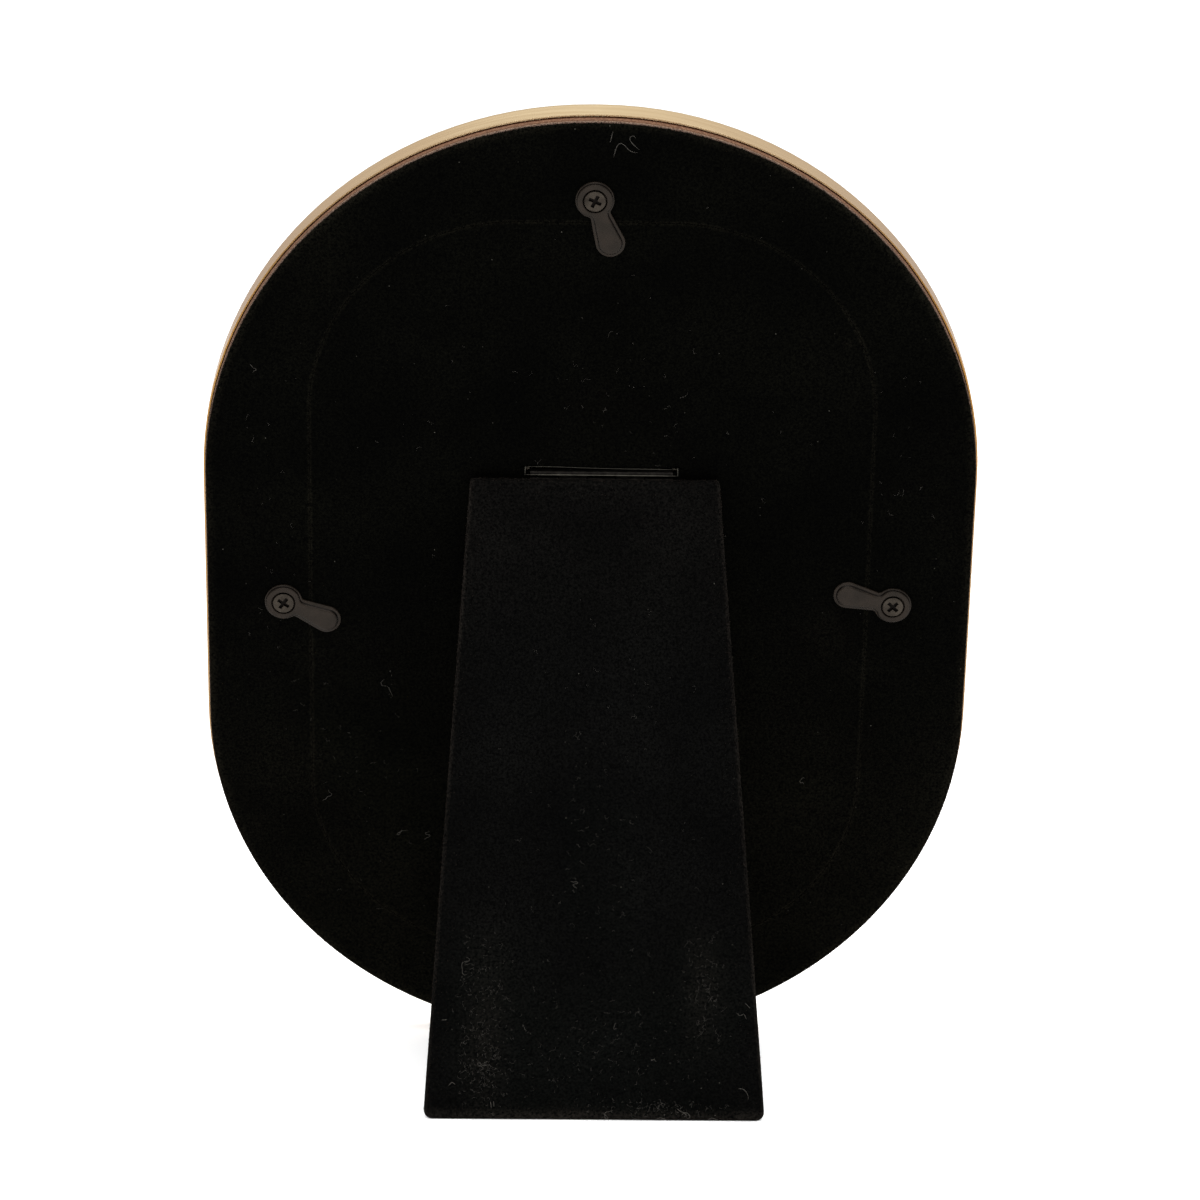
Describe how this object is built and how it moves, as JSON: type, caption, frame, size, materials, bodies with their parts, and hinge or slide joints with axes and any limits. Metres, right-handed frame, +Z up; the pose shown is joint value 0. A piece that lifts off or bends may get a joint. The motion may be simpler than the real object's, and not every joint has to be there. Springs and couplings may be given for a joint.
{
  "type": "standing picture frame",
  "caption": "Standing photo frame with straight sides and round ends, gold metal edge, black velvet back held by turn-buttons, and a hinged easel leg.",
  "frame": {"origin": "on the table, under the middle of the standing frame's box", "axes": "+Z up, the picture faces -Y and the open leg reaches towards +Y, with X across the frame"},
  "size_m": [0.1524, 0.0654, 0.1986],
  "materials": {
    "brushed_gold": "brushed along the edge, satin",
    "fibreboard": "bare sawn fibreboard edge",
    "back_velvet": "short black pile",
    "leg_velvet": "short black pile",
    "clear_glass": "clear float glass",
    "ivory_card": "uncoated",
    "grey_card": "grey board",
    "button_enamel": "satin black",
    "screw_finish": "black, worn to grey",
    "black_hinge": "matt black",
    "rivet_steel": "plain",
    "lining_paper": "matt black"
  },
  "bodies": {
    "frame": {"front_rim": "brushed_gold", "ring_board": "fibreboard", "ring_velvet": "back_velvet", "glass": "clear_glass", "insert_card": "ivory_card", "filler_board": "grey_card", "panel_board": "fibreboard", "panel_velvet": "back_velvet", "hinge_panel_leaf": "black_hinge", "hinge_panel_rivets": "rivet_steel", "hinge_pin": "rivet_steel", "turn_button_screws": "screw_finish"},
    "leg": {"leg_board": "fibreboard", "leg_cover": "leg_velvet", "leg_lining": "lining_paper", "hinge_leg_leaf": "black_hinge", "hinge_leg_rivets": "rivet_steel"},
    "turn_button_top": {"turn_button_top": "button_enamel"},
    "turn_button_left": {"turn_button_left": "button_enamel"},
    "turn_button_right": {"turn_button_right": "button_enamel"}
  },
  "joints": [
    {"name": "leg_fold", "type": "hinge", "parent": "frame", "child": "leg", "pos_m": [-0.002, 0.00798, 0.12309], "axis": [-1, 0, 0], "range_deg": [0, 24.6]},
    {"name": "turn_top", "type": "hinge", "parent": "frame", "child": "turn_button_top", "pos_m": [0.00025, 0.02131, 0.18084], "axis": [0, 0.9698, -0.2438], "continuous": true},
    {"name": "turn_left", "type": "hinge", "parent": "frame", "child": "turn_button_left", "pos_m": [0.06065, 0.00023, 0.09699], "axis": [0, 0.9698, -0.2438], "continuous": true},
    {"name": "turn_right", "type": "hinge", "parent": "frame", "child": "turn_button_right", "pos_m": [-0.06045, 0.00034, 0.09743], "axis": [0, 0.9698, -0.2438], "continuous": true}
  ]
}
